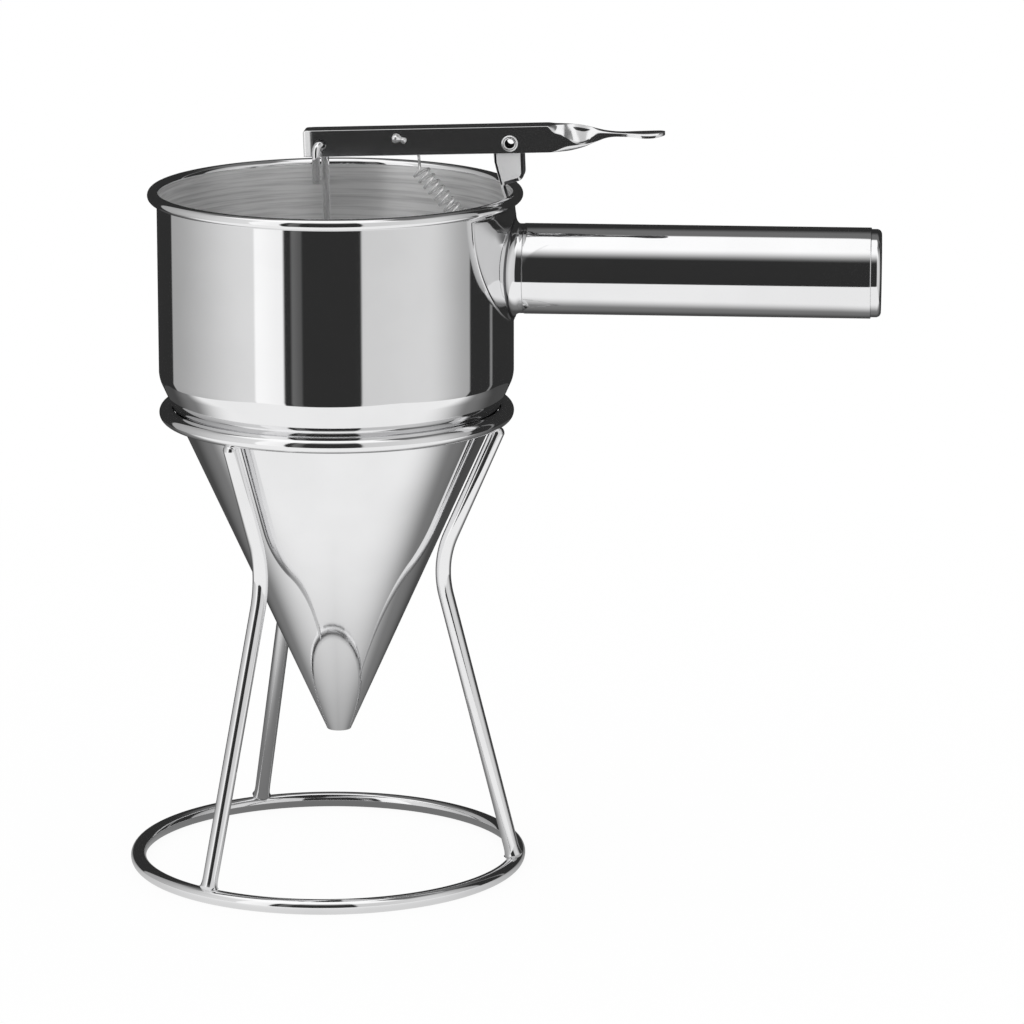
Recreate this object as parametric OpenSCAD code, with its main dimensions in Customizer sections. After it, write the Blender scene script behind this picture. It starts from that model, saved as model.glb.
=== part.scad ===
// Batter dispenser: a steel funnel with a sprung stopper rod, in a wire stand.
// Millimetres. The origin lies on the funnel's axis, on the table.
// +X runs along the handle, +Y away from the front, +Z up.

/* [Bowl and cone] */
// Outside radius of the bowl's upright wall
bowl_r = 63; // [58:1:66]
// Height of the upright wall, from the bend to the middle of the rim bead
wall_h = 65.03; // [58:1:80]
// Thickness of the funnel's sheet
sheet_t = 0.8; // [0.6:0.1:1.2]
// Half angle of the cone
cone_angle = 24.3; // [22:0.5:26]
// Outside radius of the bend between the wall and the cone
bend_r = 11; // [6:1:16]
// Radius of the rolled rim bead
rim_r = 2.05; // [1.6:0.1:2.6]
// Inside radius of the outlet
outlet_r = 3.4; // [3:0.1:4.5]

/* [Stand] */
// Diameter of the stand's wire
wire_d = 5.5; // [4:0.5:6.5]
// How far the middle of the top ring's wire lies inside the bowl's wall
ring_in = 2.5; // [2:0.5:6]
// Height of the top ring above the table
ring_z = 166.2; // [150:1:185]
// Radius of the base ring, to the middle of its wire
base_r = 68.6; // [60:1:80]
// How far the base ring lies off the funnel's axis, away from the handle
base_shift = 4.25; // [0:0.25:6]
// Flat worn or ground under the base ring
base_flat = 0.2; // [0.1:0.1:0.6]
// Height of the bend in the legs
leg_bend_z = 112.9; // [100:1:120]
// Radius of the bend in the legs
leg_bend_r = 35; // [20:1:45]
// Gap between the legs' bend and the cone
leg_gap = 1.65; // [1:0.1:4]

/* [Handle] */
// Outside diameter of the handle tube
handle_d = 32; // [28:1:34]
// Length of the handle tube
handle_len = 122.1; // [90:1:150]
// Wall of the handle tube and its neck
handle_t = 0.8; // [0.6:0.1:1.5]
// Height of the handle's axis below the middle of the rim bead
handle_drop = 25.9; // [24:0.5:30]
// Length of the end cap that shows past the tube
cap_len = 3.6; // [2:0.2:6]
// Length of the cap's and the neck's fit inside the tube
plug_len = 10; // [6:1:16]
// Half width of the saddle, measured along the bowl's wall
saddle_half = 39; // [34:1:42]
// Depth of the saddle below its straight top edge
saddle_depth = 42; // [39:1:46]

/* [Lever] */
// Outside width of the lever's channel
lever_w = 9; // [8.6:0.2:11]
// Height of the lever's side walls
lever_h = 9.35; // [8.8:0.1:10.5]
// Thickness of the lever's and the bracket's sheet
lever_t = 1; // [0.8:0.1:1.1]
// Height of the pivot above the middle of the rim bead
pivot_rise = 19.25; // [18:0.5:24]
// Distance from the pivot to the closed end over the funnel
lever_reach = 72.8; // [70:1:76]
// Distance from the pivot to the tip of the thumb tail
tail_reach = 54.2; // [50:1:62]
// Tilt of the lever at rest
lever_tilt = 1.85; // [0:0.25:4]
// Distance from the closed end back to the hole that the rod hangs in
hook_back = 6; // [5.4:0.2:8]
// Distance from the pivot to the spring's pin
pin_reach = 39.5; // [36:0.5:44]

/* [Small parts] */
// Diameter of the pivot rivet's shank
rivet_d = 4; // [3.4:0.1:4.4]
// Hole through the tubular rivet
rivet_hole_d = 2.7; // [1.5:0.1:2.8]
// Diameter of the rivet's heads
rivet_head_d = 5.8; // [5.4:0.1:7]
// Diameter of the spring's pin
pin_d = 2.2; // [1.8:0.1:2.6]
// Diameter of the stopper rod
rod_d = 2.8; // [2.4:0.1:3.2]
// Length of the rod's short hooked leg
hook_len = 13.5; // [8:0.5:20]

/* [Spring] */
// Diameter of the spring's wire
spring_wire = 1; // [0.8:0.1:1.1]
// Outside diameter of the spring's curls
spring_d = 6.5; // [5.6:0.1:6.8]
// Number of curls
spring_curls = 13; // [8:1:13]
// Length of wire between the top curl and the pin
spring_hook = 15; // [12:0.5:18]

/* [Hidden] */

steel = [0.78, 0.79, 0.80];
steel_light = [0.86, 0.87, 0.88];
steel_dark = [0.60, 0.61, 0.63];
spring_steel = [0.66, 0.67, 0.70];
$fn = 96;

// Clearances: a gap between parts that stay together, a running gap, a gap between bodies
tight = 0.02;
running = 0.06;
free = 0.3;
// Overshoot of a cut past the face that it leaves
over = 1;

// Stand
wire_r = wire_d / 2;
base_z = wire_r - base_flat;
leg_top_out = 0.6;
leg_top_drop = 2;
leg_foot_out = 0.3;
leg_foot_rise = 1.9;
weld_gap = 0.1;
wire_sides = 20;

// Turns of each leg's top, bend and foot round the axis, from the front toward the handle
left_turns = [-31.6, -37.3, -31.7];
right_turns = [75.8, 76, 82.1];
back_turns = [209, 210, 207.5];

// Funnel: the cone seats in the top ring, and everything above follows it
ring_r = bowl_r - ring_in;
slope = tan(cone_angle);
sheet_across = sheet_t / cos(cone_angle);
seat_r = ring_r - (wire_r + free) / cos(cone_angle);
tip_r = outlet_r + sheet_across;
tip_z = ring_z - (seat_r - tip_r) / slope;
bend_z = ring_z + (bowl_r - seat_r) / slope;
rim_z = bend_z + wall_h;
bend_len = bend_r * tan(cone_angle / 2);
wall_foot_z = bend_z + bend_len;
cone_top_z = bend_z - bend_len * cos(cone_angle);
bowl_in_r = bowl_r - sheet_t;
function cone_r(z) = tip_r + (z - tip_z) * slope;

// Handle
handle_z = rim_z - handle_drop;
handle_r = handle_d / 2;
tube_in_r = handle_r - handle_t;
neck_r = tube_in_r - 0.1;
handle_x = bowl_r + 3.9;
handle_end_x = handle_x + handle_len;
cap_r = tube_in_r + 0.3;
cap_edge = 1.8;
saddle_top = rim_z - rim_r - 1.1;
saddle_rise = saddle_top - handle_z;
// The wing's height over the wall at its edge and, on top of that, next to its fold
saddle_lift = 0.15;
wing_rise = 0.8;

// Lever and what it carries; places in the lever's own frame are [along, up] from the pivot
pivot = [bowl_r - 1, 0, rim_z + pivot_rise];
lever_top = 5.9;
lever_low = lever_top - lever_h;
lever_half = lever_w / 2;
lever_in_half = lever_half - lever_t;
lever_end_r = 3;
tail_start = 13.7;
rivet_r = rivet_d / 2;
rivet_head_t = 0.8;
pin_r = pin_d / 2;
pin_at = [-pin_reach, 2.5];
hook_at = [hook_back - lever_reach, 0.8];
hook_hole_r = rod_d / 2 + 0.7;
function at_lever(p) = [
    pivot.x + p.x * cos(lever_tilt) - p.y * sin(lever_tilt),
    pivot.z + p.x * sin(lever_tilt) + p.y * cos(lever_tilt)
];

// Bracket
bracket_half = lever_in_half - 0.2;
cheek_r = lever_top - lever_t - 0.15;
cheek_x = 5.1;
web_x = 5.9;
strip_x = bowl_in_r - 0.15;
strip_foot = handle_z + 3.2;
tab_len = 7;

// Rod
rod_r = rod_d / 2;
hook_turn = 29;
hook_in = lever_half - lever_t / 2 - 1.6;
hook_out = 2.3;
hook_bend = 2.55;
wall_y = -(lever_half - lever_t / 2);
hook_xz = at_lever(hook_at);
rod_top = [hook_xz.x + hook_in * tan(hook_turn), wall_y + hook_in, hook_xz.y];
rod_over = [hook_xz.x - hook_out * tan(hook_turn), wall_y - hook_out, hook_xz.y];
rod_free = [rod_over.x, rod_over.y, rod_over.z - hook_len];
rod_foot = [0, 0, tip_z + 6];
rod_knee = [0, 0, tip_z + 30];

// Plug: a cone that lies along the inside of the funnel's tip
plug_low = tip_z + 2;
plug_high = tip_z + 12;
plug_top = plug_high + 4;
plug_neck_r = rod_r + 1.2;
function plug_r(z) = cone_r(z) - sheet_across - free / cos(cone_angle);

// Spring, from an eye in the bracket's tab to an eye round the lever's pin
eye_low_r = 2.6;
tab_z = strip_foot + lever_t / 2;
eye_low = [bowl_in_r - 5.6, 0, tab_z];
pin_xz = at_lever(pin_at);
eye_high = [pin_xz.x, 0, pin_xz.y];
eye_high_r = pin_r + spring_wire / 2 + 0.15;
spring_len = norm(eye_high - eye_low);
spring_along = (eye_high - eye_low) / spring_len;
spring_across = [spring_along.z, 0, -spring_along.x];
curl_r = (spring_d - spring_wire) / 2;
coil_start = 5.5;
coil_end = spring_len - spring_hook;

// ---- helpers ----

function unit(v) = v / norm(v);
function blend(a, b, t) = a + (b - a) * t;

// A solid through a row of rings, each with as many points; the rings close on themselves
// when loop is true, and otherwise each end is capped
module skin(rings, loop = false) {
    n = len(rings[0]);
    m = len(rings);
    sides = [
        for (i = [0:m - (loop ? 1 : 2)], j = [0:n - 1])
            let (k = (j + 1) % n, near = i * n, far = ((i + 1) % m) * n)
            each [[near + j, near + k, far + k], [near + j, far + k, far + j]]
    ];
    end = (m - 1) * n;
    caps = loop ? [] : [
        for (j = [0:n / 2 - 2])
            let (k = n - 1 - j)
            each [[j, k, k - 1], [j, k - 1, j + 1],
                [end + j, end + j + 1, end + k - 1], [end + j, end + k - 1, end + k]]
    ];
    polyhedron([for (ring = rings) each ring], concat(sides, caps), convexity = 10);
}

// A straight round bar from a to b
module bar(a, b, r) {
    d = b - a;
    translate(a)
        rotate([0, acos(d.z / norm(d)), atan2(d.y, d.x)])
            cylinder(h = norm(d), r = r);
}

// The points as a path with a round bend, in steps, at all but the two ends
function bent(points, bend, steps) =
    let (last = len(points) - 1)
    [
        points[0],
        for (i = [1:last - 1])
            let (u = unit(points[i] - points[i - 1]), w = unit(points[i + 1] - points[i]),
                turn = acos(u * w),
                centre = points[i] + unit(w - u) * bend / cos(turn / 2),
                out = points[i] - u * bend * tan(turn / 2) - centre)
            for (k = [0:steps])
                centre + out * cos(turn * k / steps) + u * bend * sin(turn * k / steps),
        points[last]
    ];

function path_dir(path, i) =
    unit(path[min(i + 1, len(path) - 1)] - path[max(i - 1, 0)]);
function turned(n, dir) = unit(n - dir * (n * dir));

// One unbroken tube along the path
module tube(path, r, sides) {
    first = path_dir(path, 0);
    normals = [
        for (i = 0, n = turned(abs(first.y) < 0.9 ? [0, 1, 0] : [1, 0, 0], first);
            i < len(path);
            i = i + 1, n = turned(n, path_dir(path, min(i, len(path) - 1))))
            n
    ];
    skin([
        for (i = [0:len(path) - 1])
            let (n = normals[i], b = cross(path_dir(path, i), n))
            [for (k = [0:sides - 1])
                let (t = 360 * k / sides)
                path[i] + (n * cos(t) + b * sin(t)) * r]
    ]);
}

// A ring of round wire
module wire_ring(radius, r) {
    rotate_extrude()
        translate([radius, 0])
            circle(r);
}

// Puts its children in the lever's frame: along X from the pivot, Z up from its axis
module on_lever() {
    translate(pivot)
        rotate([0, -lever_tilt, 0])
            children();
}

// A cylinder along Y, centred on y = 0, at [x, z]
module cross_bar(at, r, len) {
    translate([at.x, len / 2, at.y])
        rotate([90, 0, 0])
            cylinder(h = len, r = r);
}

// ---- stand ----

module base_ring_wire(r) {
    translate([-base_shift, 0, base_z])
        wire_ring(base_r, r);
}

module top_ring_wire(r) {
    translate([0, 0, ring_z])
        wire_ring(ring_r, r);
}

module stand_base_ring() {
    reach = 2 * (base_r + wire_d);
    color(steel_light)
        intersection() {
            base_ring_wire(wire_r);
            translate([-base_shift - reach / 2, -reach / 2, 0])
                cube([reach, reach, wire_d]);
        }
}

module stand_top_ring() {
    color(steel_light)
        top_ring_wire(wire_r);
}

// A point at a turn from the front, toward the handle, on a circle
function around(turn, r, z) = [r * sin(turn), -r * cos(turn), z];

// A straight length of wire along a ring at a turn, to shape the end of what is welded there
module ring_wire_at(turn, r, z) {
    along = [cos(turn), sin(turn), 0] * wire_d;
    at = around(turn, r, z);
    bar(at - along, at + along, wire_r + weld_gap);
}

// One leg, by the turns of its top, its bend and its foot
module leg(turns) {
    top_turn = turns[0];
    foot_turn = turns[2];
    bend_at = cone_r(leg_bend_z) + (wire_r + leg_gap) / cos(cone_angle);
    off_axis = [base_shift, 0, 0];
    top = around(top_turn, ring_r + leg_top_out, ring_z - leg_top_drop);
    foot = around(foot_turn, base_r + leg_foot_out, base_z + leg_foot_rise) - off_axis;
    color(steel_light)
        difference() {
            tube(bent([top, around(turns[1], bend_at, leg_bend_z), foot], leg_bend_r, 10),
                wire_r, wire_sides);
            ring_wire_at(top_turn, ring_r, ring_z);
            translate(-off_axis)
                ring_wire_at(foot_turn, base_r, base_z);
        }
}

module stand_leg_left() { leg(left_turns); }
module stand_leg_right() { leg(right_turns); }
module stand_leg_back() { leg(back_turns); }

// ---- funnel ----

module funnel_bowl() {
    side = bowl_r - bend_r;
    seam_z = cone_top_z;
    seam_r = cone_r(seam_z);
    bead_r = bowl_in_r + rim_r;
    color(steel)
        union() {
            rotate_extrude($fn = 180) {
                translate([bowl_in_r, wall_foot_z])
                    square([sheet_t, rim_z - wall_foot_z]);
                intersection() {
                    translate([side, wall_foot_z])
                        difference() {
                            circle(bend_r);
                            circle(bend_r - sheet_t);
                        }
                    polygon([
                        [side, wall_foot_z],
                        [bowl_r + over, wall_foot_z],
                        [bowl_r + over, seam_z - (bowl_r + over - seam_r) * slope],
                        [seam_r, seam_z]
                    ]);
                }
                translate([bead_r, rim_z])
                    circle(rim_r);
            }
        }
}

module funnel_cone() {
    top_r = cone_r(cone_top_z);
    in = [cos(cone_angle), -sin(cone_angle)] * sheet_t;
    color(steel)
        rotate_extrude($fn = 180)
            polygon([
                [tip_r, tip_z],
                [top_r, cone_top_z],
                [top_r, cone_top_z] - [in.x, in.y],
                [outlet_r, tip_z]
            ]);
}

// ---- handle ----

// Radius of the saddle's outline from the handle's axis, with the wall laid flat
function saddle_reach(t) =
    let (a = pow(cos(t) / saddle_half, 2) + pow(sin(t) / saddle_depth, 2),
        b = -2 * saddle_rise * sin(t) / pow(saddle_depth, 2),
        c = pow(saddle_rise / saddle_depth, 2) - 1,
        oval = (-b + sqrt(b * b - 4 * a * c)) / (2 * a))
    sin(t) > 0 ? min(oval, saddle_rise / sin(t)) : oval;

// The fold's radius from the handle's axis, where the saddle leaves the wall for the neck
fold_r = neck_r + 6.4;
function saddle_fold(t, r) = min(r, saddle_reach(t) * 0.95);

// A ring of the saddle's wing, which lies along the bowl's wall: share runs from 0 at the
// fold to 1 at the outline, and the wing rises toward the fold
function saddle_wing(turns, share, lift) = [
    for (t = turns)
        let (reach = blend(saddle_fold(t, fold_r), saddle_reach(t), share),
            phi = reach * cos(t) / bowl_r * 180 / PI,
            r = bowl_r + lift + wing_rise * pow(1 - share, 2))
        [r * cos(phi), r * sin(phi), handle_z + reach * sin(t)]
];

// A ring of the saddle round the handle's axis; the ring's x bows back at its sides
function saddle_ring(turns, r, x, bow) = [
    for (t = turns)
        let (reach = saddle_fold(t, r))
        [x - bow * pow(cos(t), 2), reach * cos(t), handle_z + reach * sin(t)]
];

module handle_saddle() {
    turns = [for (t = [0:4:356]) t];
    shares = [0.4, 0.75, 1];
    fold_x = bowl_r + 1.3;
    root_x = bowl_r + 2;
    face_x = handle_x - 0.3;
    root_r = neck_r + 0.35;
    in_r = neck_r - handle_t;
    color(steel)
        union() {
            skin([
                saddle_ring(turns, fold_r - 0.4, fold_x - handle_t, 2),
                saddle_ring(turns, in_r - 0.3, root_x - handle_t, 0),
                saddle_ring(turns, in_r - 0.3, face_x, 0),
                saddle_ring(turns, root_r, face_x, 0),
                saddle_ring(turns, root_r + 0.4, root_x, 0),
                saddle_ring(turns, (fold_r + root_r) / 2, blend(fold_x, root_x, 0.45), 1),
                saddle_ring(turns, fold_r, fold_x, 2),
                each [for (share = shares) saddle_wing(turns, share, saddle_lift + handle_t)],
                each [for (i = [2:-1:0]) saddle_wing(turns, shares[i], saddle_lift)]
            ], true);
            translate([root_x, 0, handle_z])
                rotate([0, 90, 0])
                    difference() {
                        cylinder(h = handle_x + plug_len - root_x, r = neck_r);
                        translate([0, 0, -over])
                            cylinder(h = plug_len + handle_len, r = in_r);
                    }
        }
}

module handle_tube() {
    color(steel)
        translate([handle_x, 0, handle_z])
            rotate([0, 90, 0])
                difference() {
                    cylinder(h = handle_len, r = handle_r);
                    translate([0, 0, -over])
                        cylinder(h = handle_len + 2 * over, r = tube_in_r);
                }
}

module handle_cap() {
    spigot_r = tube_in_r - tight;
    hollow_r = spigot_r - handle_t;
    color(steel_light)
        translate([handle_end_x, 0, handle_z])
            rotate([0, 90, 0])
                rotate_extrude() {
                    translate([hollow_r, -plug_len])
                        square([handle_t, plug_len + cap_len / 2]);
                    translate([0, tight])
                        square([cap_r, cap_len - cap_edge - tight]);
                    translate([0, tight])
                        square([cap_r - cap_edge, cap_len - tight]);
                    translate([cap_r - cap_edge, cap_len - cap_edge])
                        circle(cap_edge);
                }
}

// ---- bracket and rivet ----

// The bracket from the side: its bent web and strip, as a band of sheet
module bracket_web() {
    top = [pivot.x - web_x, pivot.z - 0.5];
    knee = [pivot.x - web_x + 0.4, pivot.z - 7];
    neck = [pivot.x - web_x + 2.6, pivot.z - 15.4];
    wall = [strip_x - lever_t, rim_z - 3.4];
    foot = [strip_x - lever_t, strip_foot];
    step = [lever_t, 0];
    polygon([
        top, knee, neck, wall, foot,
        foot + step, wall + step, neck + step, knee + step, top + step
    ]);
}

// One cheek from the side, with a round top about the pivot and a rounded lower corner
module bracket_cheek() {
    low = pivot.z - 15;
    hull() {
        translate([pivot.x, pivot.z])
            circle(cheek_r);
        translate([pivot.x + cheek_x - 3.4, pivot.z - 10.4])
            circle(3.4, $fn = 32);
        translate([pivot.x - web_x + 2.6, low])
            square([1.4, 1]);
        translate([pivot.x - web_x + 0.2, pivot.z - 4])
            square([1, 1]);
    }
}

// The shape drawn from the side, as thick as given along Y, centred at y
module plate(y, thick) {
    translate([0, y + thick / 2, 0])
        rotate([90, 0, 0])
            linear_extrude(thick)
                children();
}

module pivot_bracket() {
    tab_x = strip_x - tab_len;
    color(steel_dark)
        difference() {
            union() {
                plate(0, 2 * bracket_half)
                    bracket_web();
                for (side = [-1, 1])
                    plate(side * (bracket_half - lever_t / 2), lever_t)
                        bracket_cheek();
                translate([tab_x, -bracket_half, strip_foot])
                    cube([tab_len - lever_t / 2, 2 * bracket_half, lever_t]);
            }
            cross_bar([pivot.x, pivot.z], rivet_r + tight, lever_w);
            translate([eye_low.x + eye_low_r, 0, strip_foot - over])
                cylinder(h = lever_t + 2 * over, r = spring_wire / 2 + 0.4);
        }
}

module pivot_rivet() {
    at = [pivot.x, pivot.z];
    head_y = lever_half + running + rivet_head_t / 2;
    color(steel_light)
        difference() {
            union() {
                cross_bar(at, rivet_r, lever_w + 2 * running + rivet_head_t);
                for (side = [-1, 1])
                    translate([0, side * head_y, 0])
                        cross_bar(at, rivet_head_d / 2, rivet_head_t);
            }
            cross_bar(at, rivet_hole_d / 2, lever_w + 4 * over);
        }
}

// ---- lever ----

// The plan of the lever's channel, set in from its outside by t
module channel_plan(t) {
    r = lever_end_r - t;
    half = lever_half - t;
    left = -lever_reach + t;
    translate([left + r, -half])
        square([tail_start - left - r + (t > 0 ? over : 0), 2 * half]);
    translate([left, -half + r])
        square([2 * r, 2 * half - 2 * r]);
    for (side = [-1, 1])
        translate([left + r, side * (half - r)])
            circle(r, $fn = 48);
}

// The thumb tail's sections: [along, half width, top, depth, squareness]
tail_rows = [
    [tail_start - 0.7, lever_half - 0.05, lever_top - 0.02, lever_h - 0.04, 10],
    [17.5, lever_half - 0.02, lever_top, lever_h - 0.1, 9],
    [22, lever_half, lever_top - 0.1, lever_h - 0.7, 7],
    [25.5, 4.4, 5.4, 7.2, 5],
    [28.5, 4, 4.6, 5.7, 4],
    [31.5, 3.5, 3.75, 3.8, 3.2],
    [35.5, 3.1, 2.8, 2.1, 2.6],
    [40, 3.5, 2.5, 1.9, 2.4],
    [tail_reach - 9, 4.6, 2.45, 2, 2.4],
    [tail_reach - 5, 4.7, 2.5, 2, 2.4],
    [tail_reach - 2.5, 4.1, 2.55, 1.9, 2.4],
    [tail_reach - 1, 2.9, 2.6, 1.7, 2.4],
    [tail_reach, 1.2, 2.6, 1.4, 2.4]
];

function power(v, p) = sign(v) * pow(abs(v), p);

// An arch of the lever's sheet: half as wide, high and as square as a row says
function arch(x, half, top, depth, square_by) = [
    for (t = [0:15:180])
        [x, -half * power(cos(t), 2 / square_by), top - depth + depth * power(sin(t), 2 / square_by)]
];

function tail_ring(row) =
    let (outer = arch(row[0], row[1], row[2], row[3], row[4]),
        thick = min(lever_t, row[3] * 0.6, row[1] * 0.6),
        inner = arch(row[0], row[1] - thick, row[2] - thick, row[3] - thick, row[4]))
    concat(outer, [for (i = [len(inner) - 1:-1:0]) inner[i]]);

module lever() {
    color(steel)
        on_lever()
            difference() {
                union() {
                    difference() {
                        translate([0, 0, lever_low])
                            linear_extrude(lever_h)
                                channel_plan(0);
                        translate([0, 0, lever_low - over])
                            linear_extrude(lever_h - lever_t + over)
                                channel_plan(lever_t);
                    }
                    skin([for (row = tail_rows) tail_ring(row)]);
                }
                cross_bar([0, 0], rivet_r + running, lever_w + 2 * over);
                cross_bar(pin_at, pin_r + tight, lever_w + 2 * over);
                translate([0, -lever_half, 0])
                    cross_bar(hook_at, hook_hole_r, 2 * lever_t + over);
            }
}

// The spring's pin: a wire through both walls, bent over at the front
module spring_pin() {
    back_y = lever_half + 0.8;
    front_y = -lever_half - pin_r - 0.1;
    bend = 1.25;
    color(steel_light)
        on_lever()
            tube(bent([
                [pin_at.x, back_y, pin_at.y],
                [pin_at.x, front_y, pin_at.y],
                [pin_at.x + 3.6, front_y, pin_at.y - 1.2]
            ], bend, 5), pin_r, 16);
}

// ---- stopper rod ----

module plunger_rod() {
    hook = bent([rod_free, rod_over, rod_top, rod_knee], hook_bend, 8);
    color(steel)
        tube(concat(hook, [rod_foot]), rod_r, 16);
}

module plunger_plug() {
    color(steel_light)
        rotate_extrude()
            polygon([
                [0, plug_low],
                [plug_r(plug_low), plug_low],
                [plug_r(plug_high - 1), plug_high - 1],
                [plug_r(plug_high - 1) - 1, plug_high],
                [plug_neck_r + 1, plug_high + 1.5],
                [plug_neck_r, plug_top],
                [rod_r + tight, plug_top],
                [rod_r + tight, rod_foot.z - tight],
                [0, rod_foot.z - tight]
            ]);
}

// ---- spring ----

// A point of the spring: along its axis from the lower eye, across it, and along Y
function spring_at(a, p, q) = eye_low + spring_along * a + spring_across * p + [0, q, 0];

// A smooth run from a to b, leaving along u and arriving along w
function run(a, u, b, w, steps) = [
    for (i = [1:steps - 1])
        let (t = i / steps, pull = norm(b - a) * 0.8)
        a * (2 * t ^ 3 - 3 * t ^ 2 + 1) + u * pull * (t ^ 3 - 2 * t ^ 2 + t)
            + b * (3 * t ^ 2 - 2 * t ^ 3) + w * pull * (t ^ 3 - t ^ 2)
];

function eye_low_at(t) = spring_at(eye_low_r * cos(t), eye_low_r * sin(t), 0);
function eye_low_dir(t) = spring_across * cos(t) - spring_along * sin(t);
function eye_high_at(t) =
    spring_at(spring_len + eye_high_r * cos(t), eye_high_r * sin(t), 0);
function eye_high_dir(t) = spring_across * cos(t) - spring_along * sin(t);

curl_rings = 8;
coil_rings = spring_curls * curl_rings;
function coil_at(i) =
    let (t = 180 + 360 * i / curl_rings)
    spring_at(blend(coil_start, coil_end, i / coil_rings), curl_r * cos(t), curl_r * sin(t));
coil_dir = [0, -1, 0];

eye_low_path = [for (t = [40:26:300]) eye_low_at(t)];
eye_high_path = [for (t = [-90:24:150]) eye_high_at(t)];
coil_path = [for (i = [0:coil_rings]) coil_at(i)];
low_end = eye_low_at(40) - eye_low_dir(40) * spring_wire;
high_end = eye_high_at(150) + eye_high_dir(150) * spring_wire;
hook_foot = spring_at(coil_end + 5, -eye_high_r, 0);
spring_path = concat(
    [low_end],
    eye_low_path,
    run(eye_low_at(300), eye_low_dir(300), coil_at(0), coil_dir, 5),
    coil_path,
    run(coil_at(coil_rings), coil_dir, hook_foot, spring_along, 5),
    [hook_foot],
    eye_high_path,
    [high_end]
);
spring_last = len(spring_path) - 1;

spring_sides = 6;

// The least gap between stretches of the spring that are not neighbours
spring_gap = min([
    for (i = [0:spring_last - 6], j = [i + 6:spring_last])
        norm(spring_path[i] - spring_path[j])
]) - spring_wire;

module return_spring() {
    echo(spring_points = spring_last + 1, spring_least_gap = spring_gap);
    color(spring_steel)
        tube(spring_path, spring_wire / 2, spring_sides);
}

stand_base_ring();
stand_top_ring();
stand_leg_left();
stand_leg_right();
stand_leg_back();
funnel_bowl();
funnel_cone();
handle_saddle();
handle_tube();
handle_cap();
pivot_bracket();
pivot_rivet();
return_spring();
lever();
spring_pin();
plunger_rod();
plunger_plug();
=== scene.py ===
"""A steel batter dispenser in its wire stand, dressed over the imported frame.

Shapes are worked out in millimetres, in the frame's own axes, and turned into metres when a
piece is finished. The stand, the funnel with its handle, the lever and the stopper rod are
the four bodies.
"""

import math

import bmesh
import bpy
from mathutils import Matrix, Vector


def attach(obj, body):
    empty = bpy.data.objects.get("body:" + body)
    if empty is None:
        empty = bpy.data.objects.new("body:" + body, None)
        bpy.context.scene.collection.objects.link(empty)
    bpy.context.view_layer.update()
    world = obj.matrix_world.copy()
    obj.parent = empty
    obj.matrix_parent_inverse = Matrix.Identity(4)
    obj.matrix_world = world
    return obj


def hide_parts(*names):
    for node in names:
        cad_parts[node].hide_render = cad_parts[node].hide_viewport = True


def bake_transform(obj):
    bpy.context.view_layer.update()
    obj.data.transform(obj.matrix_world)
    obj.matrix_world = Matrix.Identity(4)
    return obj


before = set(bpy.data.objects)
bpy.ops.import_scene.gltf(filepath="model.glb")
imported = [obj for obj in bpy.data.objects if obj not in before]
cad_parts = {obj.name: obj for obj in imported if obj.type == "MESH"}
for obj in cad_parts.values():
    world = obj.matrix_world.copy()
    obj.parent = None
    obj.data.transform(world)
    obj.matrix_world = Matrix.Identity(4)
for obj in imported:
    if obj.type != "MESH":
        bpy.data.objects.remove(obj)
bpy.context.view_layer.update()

MM = 0.001
X, Y, Z = Vector((1, 0, 0)), Vector((0, 1, 0)), Vector((0, 0, 1))
ORIGIN = Vector((0, 0, 0))

# ---- sizes, in millimetres ----

SHEET = 0.8
WIRE_R = 2.75

BASE_R, BASE_SHIFT, BASE_Z = 68.6, 4.25, 2.55
RING_R, RING_Z = 60.3, 166.2
LEG_TOP_R, LEG_TOP_Z = 61.1, 164.2
LEG_BEND_AT, LEG_BEND_Z, LEG_BEND_R = 37.915, 112.9, 35.0
LEG_FOOT_R, LEG_FOOT_Z = 68.9, 4.45
LEGS = {
    "stand_leg_left": (-31.6, -37.3, -31.7),
    "stand_leg_right": (75.8, 76.0, 82.1),
    "stand_leg_back": (209.0, 210.0, 207.5),
}

BOWL_R = 63.0
BOWL_IN_R = BOWL_R - SHEET
RIM_Z, RIM_R = 244.179, 2.05
CONE_ANGLE = math.radians(24.3)
BEND_R = 11.0
WALL_FOOT_Z = 181.517
TIP_R, TIP_Z = 4.278, 49.093
SLOPE = math.tan(CONE_ANGLE)

HANDLE_Z, HANDLE_R, HANDLE_T = 218.279, 16.0, 0.8
HANDLE_X, HANDLE_END_X = 66.9, 189.0
NECK_R = 15.1
CAP_R, CAP_LEN, CAP_EDGE = 15.5, 3.6, 1.8
PLUG_IN = 10.0
SADDLE_HALF, SADDLE_DEPTH, SADDLE_TOP = 39.0, 41.0, 241.029

PIVOT = Vector((62.0, 0, 263.429))
LEVER_TILT = math.radians(1.85)
LEVER_TOP, LEVER_H, LEVER_HALF, LEVER_T = 5.9, 9.35, 4.5, 1.0
LEVER_REACH = 72.8
HOOK_AT, HOOK_HOLE_R = (-66.8, 0.8), 2.1
PIN_AT, PIN_R = (-39.5, 2.5), 1.1

ROD_R = 1.4
ROD_BEND = 2.55
ROD_PATH = [
    (-6.066, -6.3, 248.569),
    (-6.066, -6.3, 262.069),
    (-3.461, -1.6, 262.069),
    (0, 0, 79.1),
    (0, 0, 55.1),
]

SPRING_R = 0.5
SPRING_LOW = Vector((56.6, 0, 221.976))
SPRING_HIGH = Vector((22.44, 0, 264.65))

STRIP_X, STRIP_FOOT = 62.05, 221.476


# ---- shader maths ----


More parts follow.
